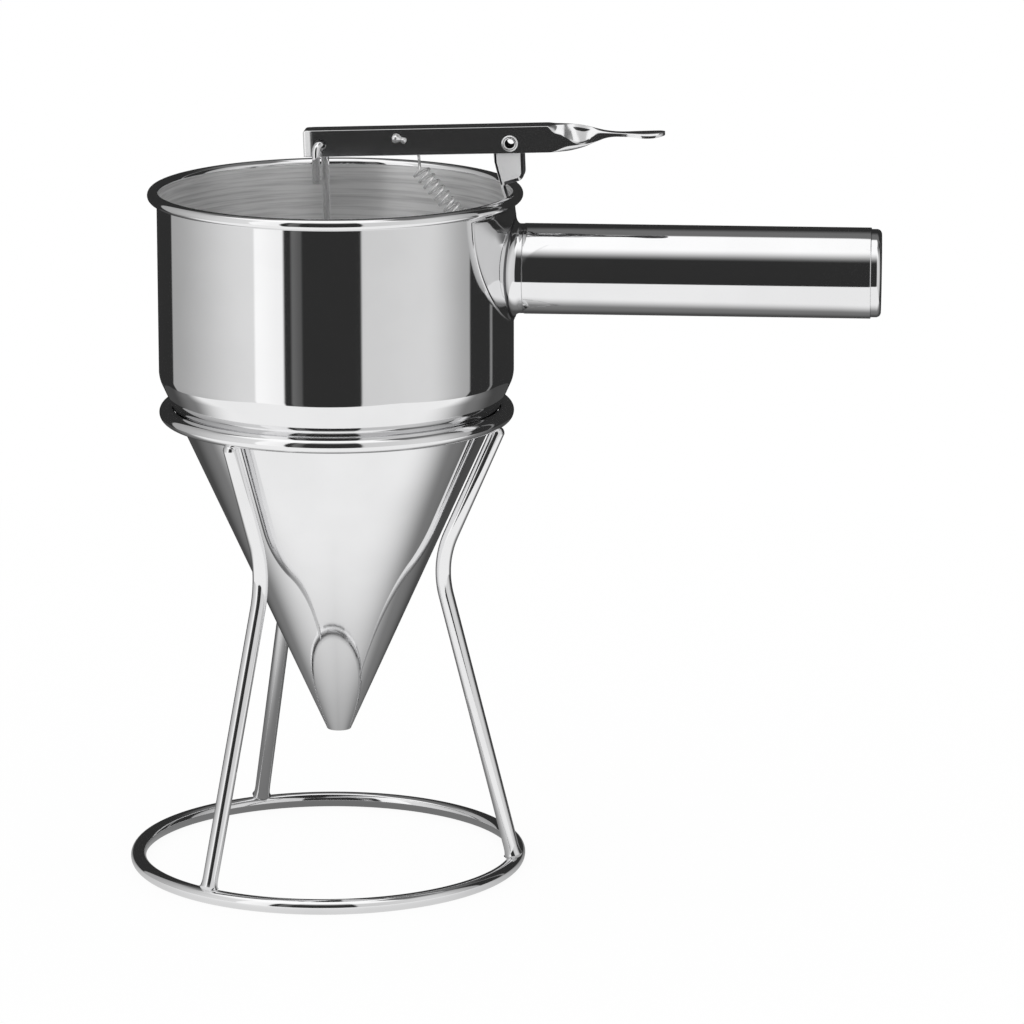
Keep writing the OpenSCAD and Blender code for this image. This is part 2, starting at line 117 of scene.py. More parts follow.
class Wire:
    """An output socket in a node tree. Python's operators on it add Math nodes."""

    def __init__(self, tree, socket=None):
        self.tree, self.socket = tree, socket

    def node(self, kind, settings=(), sockets=(), output=0):
        """Adds a node: its settings first, then the values or links of its sockets."""
        made = self.tree.nodes.new(kind)
        for name, value in dict(settings).items():
            setattr(made, name, value)
        for key, value in dict(sockets).items():
            if isinstance(value, Wire):
                self.tree.links.new(value.socket, made.inputs[key])
            else:
                made.inputs[key].default_value = value
        return Wire(self.tree, made.outputs[output] if made.outputs else None)

    def math(self, operation, *values):
        return self.node("ShaderNodeMath", {"operation": operation}, dict(enumerate(values)))

    def __add__(self, other):
        return self.math("ADD", self, other)

    def __radd__(self, other):
        return self.math("ADD", other, self)

    def __sub__(self, other):
        return self.math("SUBTRACT", self, other)

    def __rsub__(self, other):
        return self.math("SUBTRACT", other, self)

    def __mul__(self, other):
        return self.math("MULTIPLY", self, other)

    def __rmul__(self, other):
        return self.math("MULTIPLY", other, self)

    def __neg__(self):
        return self.math("MULTIPLY", self, -1.0)

    def between(self, low, high):
        """0 below low, 1 above high, smooth between."""
        return self.node(
            "ShaderNodeMapRange",
            {"interpolation_type": "SMOOTHSTEP"},
            {"Value": self, "From Min": low, "From Max": high},
        )


def new_material(name):
    material = bpy.data.materials.new(name)
    material.use_nodes = True
    tree = material.node_tree
    tree.nodes.clear()
    return material, Wire(tree)


def finish_material(start, sockets):
    shader = start.node("ShaderNodeBsdfPrincipled", (), sockets)
    start.node("ShaderNodeOutputMaterial", (), {"Surface": shader})


def place_of(start):
    return start.node("ShaderNodeTexCoord", output=3)


def stretched(start, place, scale):
    return start.node("ShaderNodeMapping", (), {"Vector": place, "Scale": scale})


def noise(start, place, scale, detail=2.0, roughness=0.5):
    return start.node(
        "ShaderNodeTexNoise",
        (),
        {"Vector": place, "Scale": scale, "Detail": detail, "Roughness": roughness},
    )


def two_tones(start, colour, darker, share):
    """The colour, and where share is 1 the same made darker by a factor."""
    dark = tuple(c * darker for c in colour)
    return start.node(
        "ShaderNodeMix",
        {"data_type": "RGBA"},
        {"Factor": share, 6: (*colour, 1), 7: (*dark, 1)},
        output=2,
    )


def bumps(start, height):
    return start.node("ShaderNodeBump", (), {"Height": height, "Distance": 1.0, "Strength": 1.0})


def steel(name, colour, shine, spread, grain, grain_depth, wave, bare=1.0):
    """Stainless steel: shine is its roughness and spread how much that wanders.
    Grain is the scale of the fine marks left by its polishing, along each axis, and wave
    the depth, in metres, of the slow unevenness that a pressed or drawn sheet has. Bare is
    1 for a clean mirror, and less for a dull skin that scatters the light."""
    material, start = new_material(name)
    place = place_of(start)
    marks = noise(start, stretched(start, place, grain), 1.0, detail=3.0)
    cloud = noise(start, place, 38.0, detail=3.0)
    smudge = noise(start, place, 160.0, detail=4.0, roughness=0.6)
    rough = shine + spread * (cloud * 0.6 + marks * 0.4 + smudge * 0.3 - 0.55)
    shade = two_tones(start, colour, 0.965, cloud.between(0.35, 0.7))
    height = marks * grain_depth + noise(start, place, 21.0, detail=1.0) * wave
    bump = bumps(start, height)
    finish_material(
        start,
        {"Base Color": shade, "Metallic": bare, "Roughness": rough, "Normal": bump},
    )
    return material


def brushed(name, colour, shine, lines_scale, line_depth):
    """Satin steel, brushed round the axis: the lines run level and vary with height."""
    material, start = new_material(name)
    place = place_of(start)
    lines = noise(start, stretched(start, place, lines_scale), 1.0, detail=4.0, roughness=0.62)
    broad = noise(start, stretched(start, place, (9, 9, 160)), 1.0, detail=3.0)
    rough = shine + (lines - 0.5) * 0.16 + (broad - 0.5) * 0.12
    shade = two_tones(start, colour, 0.72, lines.between(0.38, 0.68))
    bump = bumps(start, lines * line_depth)
    finish_material(
        start,
        {"Base Color": shade, "Metallic": 0.75, "Roughness": rough, "Normal": bump,
         "Anisotropic": 0.9, "Anisotropic Rotation": 0.25},
    )
    return material


BRIGHT = (0.86, 0.86, 0.865)
sheet_steel = steel("polished_sheet", BRIGHT, 0.045, 0.03, (60, 60, 2600), 1e-7, 4e-6)
tube_steel = steel("polished_tube", BRIGHT, 0.05, 0.03, (60, 2600, 2600), 1e-7, 2e-6)
wire_steel = steel("polished_wire", BRIGHT, 0.06, 0.04, (900, 900, 900), 0.0, 2e-6)
lever_steel = steel("lever_sheet", (0.8, 0.8, 0.805), 0.12, 0.06, (80, 2200, 2200), 2e-7, 8e-6)
bracket_steel = steel("bracket_sheet", (0.92, 0.92, 0.925), 0.45, 0.12, (500, 500, 500), 3e-6,
                      0, bare=0.3)
rivet_metal = steel("rivet_steel", (0.95, 0.95, 0.95), 0.3, 0.08, (500, 500, 500), 1e-6, 0)
spring_metal = steel("spring_wire", (0.97, 0.97, 0.97), 0.25, 0.08, (700, 700, 700), 1e-6, 0,
                     bare=0.6)
satin_steel = brushed("satin_inside", (0.95, 0.95, 0.95), 0.38, (22, 22, 800), 4e-5)
# Painted shade: a near-black steel put in the rivet's bore, where there is only shade
painted_shade_bore = steel("shaded_bore", (0.12, 0.12, 0.12), 0.5, 0.1, (900, 900, 900), 2e-6, 0)
# Painted shade: a dark steel put on the saddle's fold and on the bracket's right and lower
# edges, where shade falls
painted_shade_steel = steel("painted_shade_steel", (0.16, 0.16, 0.165), 0.3, 0.1, (900, 900, 900), 2e-6, 0)


# ---- mesh helpers ----


def chain(bm, points, closed=False):
    """Vertices through the points, joined by edges."""
    verts = [bm.verts.new(p) for p in points]
    pairs = list(zip(verts, verts[1:])) + ([(verts[-1], verts[0])] if closed else [])
    return verts + [bm.edges.new(pair) for pair in pairs]


def arc(centre, radius, start, end, steps):
    """Points of an arc in a plane, from the start angle to the end angle, in degrees."""
    turns = [math.radians(start + (end - start) * i / steps) for i in range(steps + 1)]
    return [(centre[0] + radius * math.cos(t), centre[1] + radius * math.sin(t)) for t in turns]


def turn_about(profile, axis="Z", steps=288, at=(0, 0, 0), closed=True):
    """A solid turned from a profile of (radius, along) points about Z, or about X."""
    bm = bmesh.new()
    geom = chain(bm, [(r, 0, a) for r, a in profile], closed)
    bmesh.ops.spin(
        bm, geom=geom, cent=ORIGIN, axis=Z, angle=2 * math.pi, steps=steps, use_merge=True
    )
    bmesh.ops.remove_doubles(bm, verts=bm.verts, dist=1e-5)
    if axis == "X":
        bmesh.ops.rotate(bm, cent=ORIGIN, matrix=Matrix.Rotation(math.pi / 2, 3, "Y"),
                         verts=bm.verts)
    if axis == "Y":
        bmesh.ops.rotate(bm, cent=ORIGIN, matrix=Matrix.Rotation(-math.pi / 2, 3, "X"),
                         verts=bm.verts)
    bmesh.ops.translate(bm, vec=Vector(at), verts=bm.verts)
    return bm


def bent(points, bend, steps):
    """The points as a path with a round bend at all but its two ends."""
    points = [Vector(p) for p in points]
    path = [points[0]]
    for before, here, after in zip(points, points[1:], points[2:]):
        u, w = (here - before).normalized(), (after - here).normalized()
        turn = u.angle(w)
        centre = here + (w - u).normalized() * bend / math.cos(turn / 2)
        out = here - u * bend * math.tan(turn / 2) - centre
        for k in range(steps + 1):
            t = turn * k / steps
            path.append(centre + out * math.cos(t) + u * bend * math.sin(t))
    return path + [points[-1]]


def frames_along(path):
    """One upright frame for each point of a path, turned as little as possible."""
    frames = []
    side = None
    for i, here in enumerate(path):
        along = (path[min(i + 1, len(path) - 1)] - path[max(i - 1, 0)]).normalized()
        if side is None:
            side = Y if abs(along.y) < 0.9 else X
        side = (side - along * side.dot(along)).normalized()
        other = along.cross(side)
        turn = Matrix((side, other, along)).transposed().to_4x4()
        frames.append(Matrix.Translation(here) @ turn)
    return frames


def sweep(bm, path, radius, sides, sizes=None, round_ends=(0.0, 0.0)):
    """A round bar along the path. sizes gives the radius's share at each point, and
    round_ends how far, in radii, each end's edge is rounded."""
    frames = frames_along(path)
    sizes = list(sizes or [1.0] * len(path))
    stations = list(zip(frames, sizes))
    for end, share in ((0, round_ends[0]), (-1, round_ends[1])):
        if not share:
            continue
        out = -1 if end == 0 else 1
        full = sizes[end]
        reach = share * radius * full
        last = frames[end]
        extra = []
        for k in range(1, 6):
            t = math.radians(90 * k / 5)
            slide = Matrix.Translation(Z * out * reach * (math.sin(t) - 1))
            extra.append((last @ slide, full * (1 - share * (1 - math.cos(t)))))
        if end == 0:
            stations = extra[::-1] + stations[1:]
        else:
            stations = stations[:-1] + extra
    ring = bmesh.ops.create_circle(
        bm, cap_ends=False, segments=sides, radius=radius,
        matrix=stations[0][0] @ Matrix.Scale(stations[0][1], 4),
    )["verts"]
    edges = [e for e in bm.edges if e.verts[0] in ring and e.verts[1] in ring]
    first = list(edges)
    for (before, was), (after, now) in zip(stations, stations[1:]):
        grown = bmesh.ops.extrude_edge_only(bm, edges=edges)["geom"]
        verts = [g for g in grown if isinstance(g, bmesh.types.BMVert)]
        fresh = set(verts)
        edges = [
            g for g in grown
            if isinstance(g, bmesh.types.BMEdge) and fresh.issuperset(g.verts)
        ]
        move = after @ Matrix.Scale(now / was, 4) @ before.inverted()
        bmesh.ops.transform(bm, matrix=move, verts=verts)
    for rim in (first, edges):
        bmesh.ops.contextual_create(bm, geom=rim)


def ring_loop(bm, points):
    """A closed loop: a circle whose vertices are put at the points."""
    verts = bmesh.ops.create_circle(bm, segments=len(points), radius=1.0)["verts"]
    for vert, point in zip(verts, points):
        vert.co = Vector(point)
    chosen = set(verts)
    return [e for v in verts for e in v.link_edges if chosen.issuperset(e.verts)]


def skin(bm, loops):
    """Bridges each loop of points to the next."""
    made = [list(dict.fromkeys(ring_loop(bm, points))) for points in loops]
    for near, far in zip(made, made[1:]):
        bmesh.ops.bridge_loops(bm, edges=near + far)
    return made


def drill(bm, holes):
    """Bores each hole of holes, (centre, radius, length), along Y through the mesh."""
    shown = []
    for name, source in [("blank", bm)] + [(f"drill_{i}", None) for i in range(len(holes))]:
        if source is None:
            at, radius, length = holes[len(shown) - 1]
            source = bmesh.new()
            place = Matrix.Translation(at) @ Matrix.Rotation(math.pi / 2, 4, "X")
            bmesh.ops.create_cone(source, cap_ends=True, segments=48, radius1=radius,
                                  radius2=radius, depth=length, matrix=place)
        mesh = bpy.data.meshes.new(name)
        source.to_mesh(mesh)
        source.free()
        shown.append(bpy.data.objects.new(name, mesh))
        bpy.context.scene.collection.objects.link(shown[-1])
    blank, cutters = shown[0], shown[1:]
    for cutter in cutters:
        hole = blank.modifiers.new(cutter.name, "BOOLEAN")
        hole.operation, hole.solver, hole.object = "DIFFERENCE", "EXACT", cutter
    bored = bmesh.new()
    bored.from_object(blank, bpy.context.evaluated_depsgraph_get())
    for thing in shown:
        bpy.data.objects.remove(thing)
    return bored


def piece(name, bm, body, materials, replaces=(), sharp=35.0, blend=None, mark=None,
          holes=()):
    """Closes a mesh into a finished piece, in metres. mark gives a face's material."""
    bmesh.ops.remove_doubles(bm, verts=bm.verts, dist=1e-5)
    bmesh.ops.recalc_face_normals(bm, faces=bm.faces)
    if holes:
        bm = drill(bm, holes)
    for face in bm.faces:
        face.smooth = True
        if mark:
            face.material_index = mark(face)
    for edge in bm.edges:
        if len(edge.link_faces) == 2 and edge.calc_face_angle() > math.radians(sharp):
            edge.smooth = False
    bmesh.ops.scale(bm, vec=(MM, MM, MM), verts=bm.verts)
    mesh = bpy.data.meshes.new(name)
    bm.to_mesh(mesh)
    bm.free()
    made = bpy.data.objects.new(name, mesh)
    bpy.context.scene.collection.objects.link(made)
    for material in materials:
        mesh.materials.append(material)
    if blend:
        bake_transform(made)
    else:
        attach(made, body)
    if replaces:
        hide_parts(*replaces)
    return made


def around(turn, radius, height, shift=0.0):
    """A place at a turn, in degrees, from the front toward the handle."""
    t = math.radians(turn)
    return Vector((radius * math.sin(t) - shift, -radius * math.cos(t), height))


def at_lever(along, up, y=0.0):
    """A place given in the lever's frame: along from the pivot, and up from its axis."""
    c, s = math.cos(LEVER_TILT), math.sin(LEVER_TILT)
    return Vector((PIVOT.x + along * c - up * s, y, PIVOT.z + along * s + up * c))


# ---- stand ----


def make_stand():
    round_wire = arc((BASE_R, BASE_Z), WIRE_R, 0, 352.5, 47)
    flat_wire = [(r, max(z, 0.0)) for r, z in round_wire]
    base = turn_about(flat_wire, steps=288, at=(-BASE_SHIFT, 0, 0))
    piece("base_ring", base, "stand", [wire_steel], ["stand_base_ring"], 60)
    top = turn_about(arc((RING_R, RING_Z), WIRE_R, 0, 352.5, 47), steps=288)
    piece("top_ring", top, "stand", [wire_steel], ["stand_top_ring"], 60)
    for node, (top_turn, bend_turn, foot_turn) in LEGS.items():
        top_at = around(top_turn, LEG_TOP_R, LEG_TOP_Z)
        foot_at = around(foot_turn, LEG_FOOT_R, LEG_FOOT_Z, BASE_SHIFT)
        bm = bmesh.new()
        path = bent([top_at, around(bend_turn, LEG_BEND_AT, LEG_BEND_Z), foot_at],
                    LEG_BEND_R, 28)
        shin = (path[-2] - foot_at).normalized()
        sizes = [1.0] * len(path[:-1])
        path = path[:-1] + [foot_at + shin * far for far in (5.0, 3.4, 2.2, 1.2, 0.0)]
        sizes += [1.0, 1.02, 1.09, 1.2, 1.3]
        sweep(bm, path, WIRE_R, 40, sizes, round_ends=(0.9, 0.6))
        piece(node.replace("stand_leg_", "leg_"), bm, "stand",
              [wire_steel], [node], 60)


# ---- funnel ----


def make_funnel():
    bead = (BOWL_IN_R + RIM_R, RIM_Z)
    side = BOWL_R - BEND_R
    out = (math.cos(CONE_ANGLE), -math.sin(CONE_ANGLE))
    skirt = 1.5
    bend = math.degrees(CONE_ANGLE)

    def foot(radius):
        x, z = side + radius * out[0], WALL_FOOT_Z + radius * out[1]
        return (x + skirt * out[1], z - skirt * out[0])

    crease = math.degrees(math.acos((BOWL_R - bead[0]) / RIM_R))
    wall_steps = 10
    inner = arc((side, WALL_FOOT_Z), BEND_R - SHEET, -bend, 0, 12)
    outer = arc((side, WALL_FOOT_Z), BEND_R, 0, -bend, 20)
    inside_wall = [
        (BOWL_IN_R, WALL_FOOT_Z + (RIM_Z - WALL_FOOT_Z) * i / wall_steps)
        for i in range(1, wall_steps)
    ]
    over = arc(bead, RIM_R, 180, -crease, 40)
    top_z = over[-1][1]
    outside_wall = [
        (BOWL_R, top_z + (WALL_FOOT_Z - top_z) * i / wall_steps) for i in range(1, wall_steps)
    ]
    profile = [foot(BEND_R - SHEET)] + inner + inside_wall + over + outside_wall + outer
    profile.append(foot(BEND_R))

    def inside_bowl(face):
        place = face.calc_center_median()
        far = math.hypot(place.x, place.y)
        return 1 if far < BOWL_IN_R + 0.2 and place.z < RIM_Z - 0.5 and not outside(place) else 0

    def outside(place):
        """True outside the middle of the funnel's sheet."""
        far = math.hypot(place.x, place.y)
        middle = TIP_R + (place.z - TIP_Z) * SLOPE - SHEET / math.cos(CONE_ANGLE) / 2
        return far > min(middle, BOWL_R - SHEET / 2)

    piece("bowl", turn_about(profile), "funnel",
          [sheet_steel, satin_steel], ["funnel_bowl"], 50, mark=inside_bowl)

    top_out, top_in = foot(BEND_R), foot(BEND_R - SHEET)
    tip_in = (TIP_R - SHEET / math.cos(CONE_ANGLE), TIP_Z)
    rows = 12

    def line(a, b):
        return [(a[0] + (b[0] - a[0]) * i / rows, a[1] + (b[1] - a[1]) * i / rows)
                for i in range(rows + 1)]

    cone = line(top_out, (TIP_R, TIP_Z)) + line(tip_in, top_in)
    piece("cone", turn_about(cone), "funnel",
          [sheet_steel, satin_steel], ["funnel_cone"], 50,
          mark=lambda face: 0 if outside(face.calc_center_median()) else 1)


# ---- handle ----


def saddle_reach(t):
    """The saddle outline's radius from the handle's axis, with the wall laid flat."""
    rise = SADDLE_TOP - HANDLE_Z
    a = (math.cos(t) / SADDLE_HALF) ** 2 + (math.sin(t) / SADDLE_DEPTH) ** 2
    b = -2 * rise * math.sin(t) / SADDLE_DEPTH**2
    c = (rise / SADDLE_DEPTH) ** 2 - 1
    oval = (-b + math.sqrt(b * b - 4 * a * c)) / (2 * a)
    return min(oval, rise / math.sin(t)) if math.sin(t) > 0 else oval


def make_saddle():
    turns = [math.radians(2.5 * i) for i in range(144)]
    neck_r, fold_r = NECK_R + 0.75, NECK_R + 4.1
    root_x, face_x = BOWL_R + 2.5, HANDLE_X - 0.05
    lift = 0.03

    def on_wall(share, height):
        points = []
        for t in turns:
            near = min(fold_r, saddle_reach(t) * 0.95)
            reach = near + (saddle_reach(t) - near) * share
            phi = reach * math.cos(t) / BOWL_R
            r = BOWL_R + lift + height
            points.append((r * math.cos(phi), r * math.sin(phi), HANDLE_Z + reach * math.sin(t)))
        return points

    def flared(turn, inset):
        """The fold from the wall to the neck, at a turn of its hollow round, in degrees."""
        s, c = math.sin(math.radians(turn)), math.cos(math.radians(turn))
        points = []
        for t in turns:
            start = min(fold_r, saddle_reach(t) * 0.95)
            reach = neck_r + (start - neck_r) * (1 - s) - inset
            on = math.sqrt((BOWL_R + lift + SHEET) ** 2 - (reach * math.cos(t)) ** 2)
            points.append((on + (root_x - on) * (1 - c) - inset * c, reach * math.cos(t),
                           HANDLE_Z + reach * math.sin(t)))
        return points

    def about_handle(radius, x):
        return [(x, radius * math.cos(t), HANDLE_Z + radius * math.sin(t)) for t in turns]

    edge = ((1.0, 0.05), (0.998, 0.24), (0.99, 0.34), (0.97, 0.38))
    loops = [on_wall(share, height) for share, height in edge]
    loops += [on_wall(share, 0.4 + (SHEET - 0.4) * (1 - share) ** 2)
              for share in (0.9, 0.8, 0.7, 0.55, 0.4, 0.25, 0.12, 0.05)]
    loops += [flared(turn, 0) for turn in (0, 8, 16, 25, 34, 43, 52, 61, 70, 80, 90)]
    loops += [about_handle(neck_r, root_x + 0.4), about_handle(neck_r, face_x - 0.1)]
    loops += [about_handle(neck_r - 0.1, face_x), about_handle(NECK_R, face_x)]
    loops += [about_handle(NECK_R, HANDLE_X + PLUG_IN)]
    loops += [about_handle(NECK_R - HANDLE_T, HANDLE_X + PLUG_IN)]
    loops += [about_handle(NECK_R - HANDLE_T, root_x)]
    loops += [flared(turn, SHEET * 0.8) for turn in (70, 40, 10)]
    loops += [on_wall(0.25, 0), on_wall(0.75, 0), on_wall(1.0, 0)]
    bm = bmesh.new()
    made = skin(bm, loops)
    bmesh.ops.bridge_loops(bm, edges=made[-1] + made[0])

    # Painted shadow: a band of faces round the fold from the wall up to the neck gets the dark
    # steel
    def painted_fold_shadow(face):
        place = face.calc_center_median()
        far = math.hypot(place.y, place.z - HANDLE_Z)
        return 1 if fold_r - 1.6 < far < fold_r - 0.2 and place.x < root_x - 0.5 else 0

    piece("saddle", bm, "funnel", [sheet_steel, painted_shade_steel],
          ["handle_saddle"], 40, mark=painted_fold_shadow)


def make_handle():
    length = HANDLE_END_X - HANDLE_X
    at = (HANDLE_X, 0, HANDLE_Z)
    lip = 0.25
    inner = HANDLE_R - HANDLE_T
    rows = [length * i / 12 for i in range(1, 12)]
    profile = (
        [(inner, 0), (HANDLE_R - lip, 0)]
        + [(r, a) for r, a in arc((HANDLE_R - lip, lip), lip, -60, 0, 3)]
        + [(HANDLE_R, a) for a in rows]
        + [(r, a) for r, a in arc((HANDLE_R - lip, length - lip), lip, 0, 60, 3)]
        + [(HANDLE_R - lip, length), (inner, length)]
    )
    piece("handle", turn_about(profile, "X", 192, at), "funnel",
          [tube_steel], ["handle_tube"], 40)
    spigot = inner - 0.02
    hollow = spigot - HANDLE_T
    cap = (
        [(0, CAP_LEN - 0.9), (hollow, CAP_LEN - 0.9), (hollow, -PLUG_IN), (spigot, -PLUG_IN)]
        + [(spigot, 0.02), (CAP_R - 0.12, 0.02), (CAP_R, 0.14)]
        + arc((CAP_R - CAP_EDGE, CAP_LEN - CAP_EDGE), CAP_EDGE, 0, 90, 14)
        + [(CAP_R - 4, CAP_LEN + 0.03), (CAP_R * 0.35, CAP_LEN + 0.05), (0, CAP_LEN + 0.05)]
    )
    end = (HANDLE_END_X, 0, HANDLE_Z)
    piece("handle_end_cap", turn_about(cap, "X", 192, end, closed=False), "funnel",
          [tube_steel], ["handle_cap"], 40)


# ---- bracket and rivet ----


def plate(bm, outline, y, thick):
    """A flat plate with the outline drawn from the side, from y to y + thick."""
    geom = chain(bm, [(px, y, pz) for px, pz in outline], closed=True)
    edges = [g for g in geom if isinstance(g, bmesh.types.BMEdge)]
    face = bmesh.ops.contextual_create(bm, geom=edges)["faces"]
    grown = bmesh.ops.extrude_face_region(bm, geom=face)["geom"]
    verts = [g for g in grown if isinstance(g, bmesh.types.BMVert)]
    bmesh.ops.translate(bm, vec=Y * thick, verts=verts)


def soften(bm, width, segments=2, least=40.0):
    """Rounds each edge that turns by more than least degrees."""
    edges = [
        e for e in bm.edges
        if len(e.link_faces) == 2 and e.calc_face_angle() > math.radians(least)
    ]
    bmesh.ops.bevel(bm, geom=edges, offset=width, offset_type="OFFSET", segments=segments,
                    profile=0.5, affect="EDGES", clamp_overlap=True, material=-1)


def make_bracket():
    half = LEVER_HALF - LEVER_T - 0.2
    px, pz = PIVOT.x, PIVOT.z
    cheek = arc((px, pz), 4.75, 180, 10, 20)
    cheek += arc((px + 1.7, pz - 10.4), 3.4, 0, -62, 8)
    cheek += [(px - 1.9, pz - 15.0), (px - 3.3, pz - 15.0), (px - 5.5, pz - 7.0),
              (px - 5.8, pz - 3.5)]
    bm = bmesh.new()
    for y in (-half, half - LEVER_T):
        plate(bm, cheek, y, LEVER_T)
    bm.faces.ensure_lookup_table()
    flats = [f for f in bm.faces if len(f.verts) == len(cheek)]
    bmesh.ops.inset_region(bm, faces=flats, thickness=1.2, use_even_offset=True)
    middle = [
        (px - 5.9, pz - 0.5), (px - 5.5, pz - 7), (px - 3.3, pz - 15.4),
        (STRIP_X - LEVER_T, RIM_Z - 3.4), (STRIP_X - LEVER_T, STRIP_FOOT),
    ]
    web = bent([(x, 0, z) for x, z in middle], 3.0, 6)
    side = [(p.x, p.z) for p in web] + [(p.x + LEVER_T, p.z) for p in reversed(web)]
    plate(bm, side, -half, 2 * half)
    tab = [(STRIP_X - 7, STRIP_FOOT), (STRIP_X - 0.5, STRIP_FOOT),
           (STRIP_X - 0.5, STRIP_FOOT + LEVER_T), (STRIP_X - 7, STRIP_FOOT + LEVER_T)]
    plate(bm, tab, -half, 2 * half)
    soften(bm, 0.15)
    bore = (PIVOT, 2.02, 2 * LEVER_HALF)

    # Painted shade: the cheeks' right and lower edges are given the dark steel
    def painted_edge_shade(face):
        place = face.calc_center_median()
        side, down = place.x - px, pz - place.z
        return 1 if down > 3 and side > 3.9 - 0.02 * down or down > 13.2 and side > -1.5 else 0

    piece("bracket", bm, "funnel", [bracket_steel, painted_shade_steel],
          ["pivot_bracket"], 30, mark=painted_edge_shade, holes=[bore])


def make_rivet():
    hole, shank, mouth, head = 1.35, 2.0, 1.6, 2.9
    face = LEVER_HALF + 0.06
    middle, round_r = (mouth + head) / 2, (head - mouth) / 2
    ring = arc((middle, face), round_r, 180, 0, 18)
    top = [(hole, 0), (hole, face - 1.4), (mouth, face - 0.7)] + ring
    top += [(shank, face - 0.02), (shank, 0)]
    bottom = [(r, -a) for r, a in reversed(top)]
    profile = top[:-1] + [(shank, 0)] + bottom[1:-1]

    # Painted shade: the faces inside the bore are given the near-black steel
    def bored(face):
        place = face.calc_center_median() - PIVOT
        return 1 if math.hypot(place.x, place.z) < mouth and abs(place.y) < LEVER_HALF else 0

    piece("rivet", turn_about(profile, "Y", 64, PIVOT), "funnel",
          [rivet_metal, painted_shade_bore], ["pivot_rivet"], 50, mark=bored)


# ---- lever ----

# The lever's sections from where its walls stop running straight: along, half width, top,
# depth, how far its upper corners reach in from the sides and down from the top, and how
# far its lower edges curl under
LEVER_ROWS = [
    (12.0, 4.5, 5.9, 9.35, 0.3, 0.3, 0.03),
    (13.4, 4.5, 5.9, 9.35, 0.35, 0.4, 0.03),
    (14.6, 4.5, 5.9, 9.34, 1.3, 1.6, 0.1),
    (16.2, 4.5, 5.9, 9.3, 2.3, 2.9, 0.5),
    (18.5, 4.48, 5.88, 9.25, 2.8, 3.5, 1.5),
    (20.5, 4.4, 5.88, 9.15, 3.6, 4.6, 2.0),
    (22.5, 4.2, 5.8, 8.7, 4.0, 6.0, 1.8),
    (24.5, 3.8, 5.6, 8.0, 3.7, 6.2, 1.4),
    (26.5, 3.3, 5.2, 7.0, 3.2, 5.4, 0.9),
    (28.5, 2.9, 4.65, 5.6, 2.6, 3.6, 0.4),
    (31.0, 2.5, 3.9, 3.9, 1.8, 1.8, 0.1),
    (33.5, 2.2, 3.25, 2.4, 1.2, 1.0, 0.03),
    (36.5, 2.1, 2.75, 1.5, 0.6, 0.5, 0.03),
    (40.0, 2.3, 2.5, 1.3, 0.5, 0.45, 0.03),
    (43.5, 3.1, 2.45, 1.4, 0.8, 0.7, 0.03),
    (46.5, 4.0, 2.45, 1.7, 1.5, 1.2, 0.03),
    (49.2, 4.2, 2.5, 1.8, 1.8, 1.4, 0.03),
    (51.7, 3.8, 2.55, 1.7, 1.7, 1.3, 0.03),
    (53.2, 2.8, 2.6, 1.5, 1.4, 1.0, 0.03),
    (54.3, 1.2, 2.6, 1.3, 0.8, 0.8, 0.03),
]

# The lever's closed end: out from the end, and half width there
LEVER_END = [
    (0.0, 3.35), (0.04, 3.6), (0.12, 3.78), (0.3, 3.9), (0.9, 4.02), (1.6, 4.16), (2.3, 4.3),
    (3.0, 4.44), (3.5, 4.5),
]


def smooth_rows(rows, step):
    """The rows with more between them, on a smooth curve through every one."""
    made = []
    for i in range(len(rows) - 1):
        p0, p1 = rows[max(i - 1, 0)], rows[i]
        p2, p3 = rows[i + 1], rows[min(i + 2, len(rows) - 1)]
        count = max(2, math.ceil((p2[0] - p1[0]) / step))
        for k in range(count):
            t = k / count
            row = []
            for a, b, c, d in zip(p0, p1, p2, p3):
                row.append(0.5 * (2 * b + (c - a) * t + (2 * a - 5 * b + 4 * c - d) * t * t
                                  + (3 * b - a - 3 * c + d) * t**3))
            made.append(tuple(row))
    return made + [rows[-1]]


def lever_arch(row, inset):
    """The points of a section: up one wall, round the corners and down the other."""
    along, half, top, depth, corner, drop, curl = row
    tail = LEVER_ROWS[-1][0] - 3
    along += inset * max(0, 1 - (along + LEVER_REACH) / 3) - inset * max(0, (along - tail) / 3)
    low = top - depth
    under = min(inset, curl)
    half, top = half - inset, top - inset
    corner, drop = max(min(corner, half) - inset, 0.04), max(min(drop, depth) - inset, 0.04)
    curl = max(curl - inset, 0.02)
    turns = [math.radians(t) for t in range(0, 91, 10)]
    lip = [(-half + curl * (1 - math.sin(t)), low + under + curl * (1 - math.cos(t)))
           for t in turns[::3]]
    foot, head = lip[-1][1], top - drop
    wall = [(-half, foot + (head - foot) * share) for share in (0.02, 0.5, 0.98)]
    flat = min(1.0, max(0.0, (drop - 1.0) / 2.5))
    bend = []
    for t in turns:
        side, rise = 1 - math.cos(t), math.sin(t)
        share = t / turns[-1]
        side, rise = side + (share - side) * flat, rise + (share - rise) * flat
        bend.append((-half + corner * side, head + drop * rise))
    crown = [((-half + corner) * (1 - i / 4), top) for i in range(1, 4)]
    left = lip + wall + bend + crown
    return [at_lever(along, z, y) for y, z in left + [(0, top)]
            + [(-y, z) for y, z in reversed(left)]]


def lever_shell(bm, rows, inset):
    """One side of the lever's sheet, closed at both ends; gives the edges of its mouth."""
    columns = [[bm.verts.new(p) for p in lever_arch(row, inset)] for row in rows]
    for near, far in zip(columns, columns[1:]):
        bmesh.ops.bridge_loops(bm, edges=edges_between(bm, near) + edges_between(bm, far))
    mouth = []
    for column in (columns[0], columns[-1]):
        across = edges_between(bm, [column[-1], column[0]])
        bmesh.ops.edgeloop_fill(bm, edges=edges_between(bm, column) + across)
        mouth += across
    for side in (0, -1):
        mouth += edges_between(bm, [column[side] for column in columns])
    return mouth


